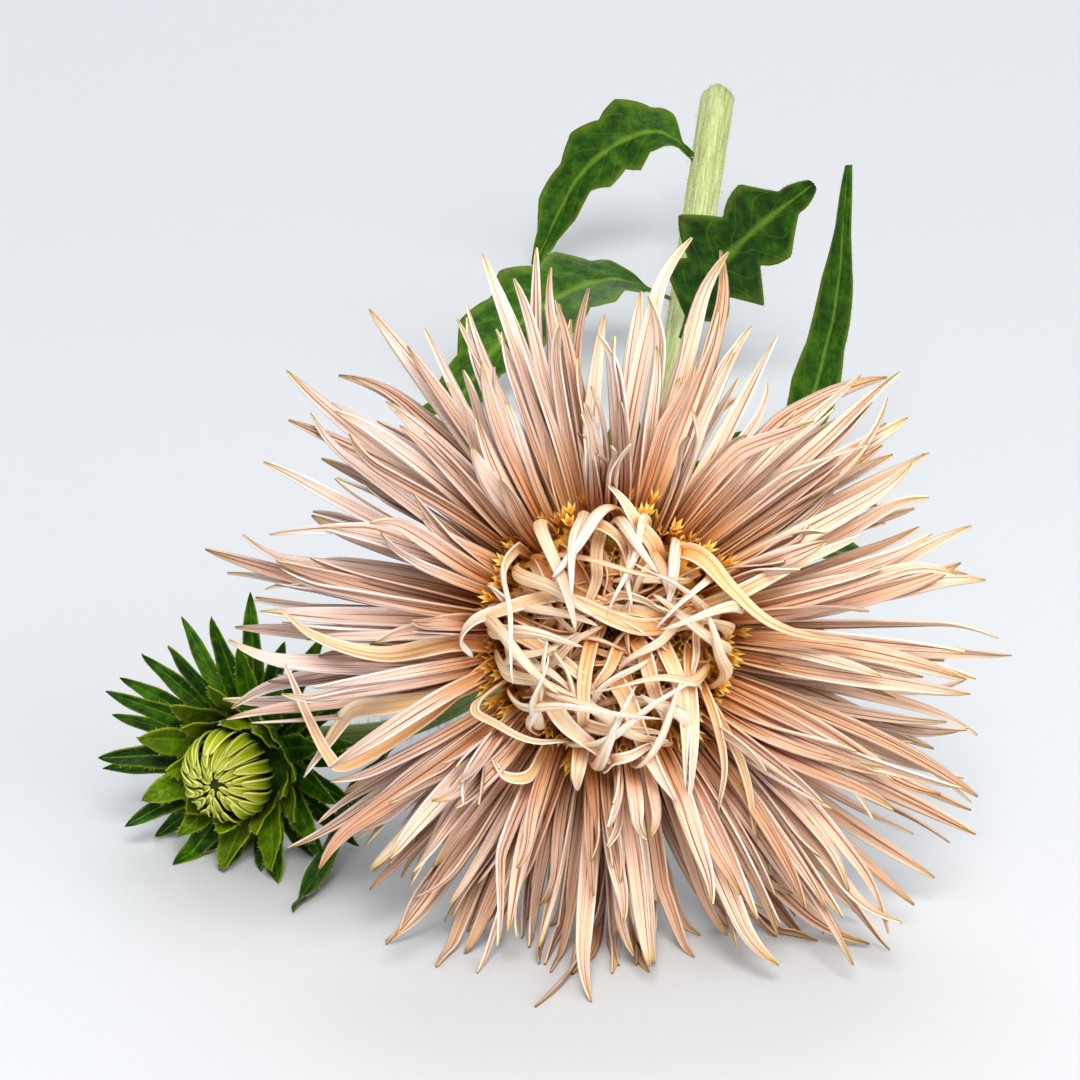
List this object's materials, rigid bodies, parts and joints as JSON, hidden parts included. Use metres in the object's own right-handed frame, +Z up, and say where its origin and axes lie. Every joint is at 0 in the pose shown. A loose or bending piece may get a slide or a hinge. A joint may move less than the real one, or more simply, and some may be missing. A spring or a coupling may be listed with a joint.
{
  "type": "valkyrie aster",
  "caption": "Needle-petalled China aster, cut and lying down: one open bloom on a leafy stem, with a side branch that carries a green bud.",
  "frame": {"origin": "on the surface that the flower lies on, at the centre of its footprint", "axes": "+X across the bloom to the right as it is looked at, +Y back along the stem from the bloom to the cut end, +Z up"},
  "size_m": [0.1353, 0.3721, 0.0995],
  "materials": {
    "petal": "soft dusty-pink petal with cream edges",
    "disc_floret": "golden-brown floret",
    "leaf": "dark green leaf, faint gloss",
    "stem": "pale green, ridged and hairy",
    "bud_petal": "yellow-green folded petals"
  },
  "bodies": {
    "root": {"stem": "stem", "bloom_ray_petals": "petal", "bloom_disc_florets": "disc_floret", "bloom_bracts": "leaf", "bud_petals": "bud_petal", "bud_bracts": "leaf", "leaf_1": "leaf", "leaf_2": "leaf", "leaf_3": "leaf", "leaf_4": "leaf", "leaf_5": "leaf", "leaf_6": "leaf", "branch_leaf": "leaf"}
  },
  "joints": []
}
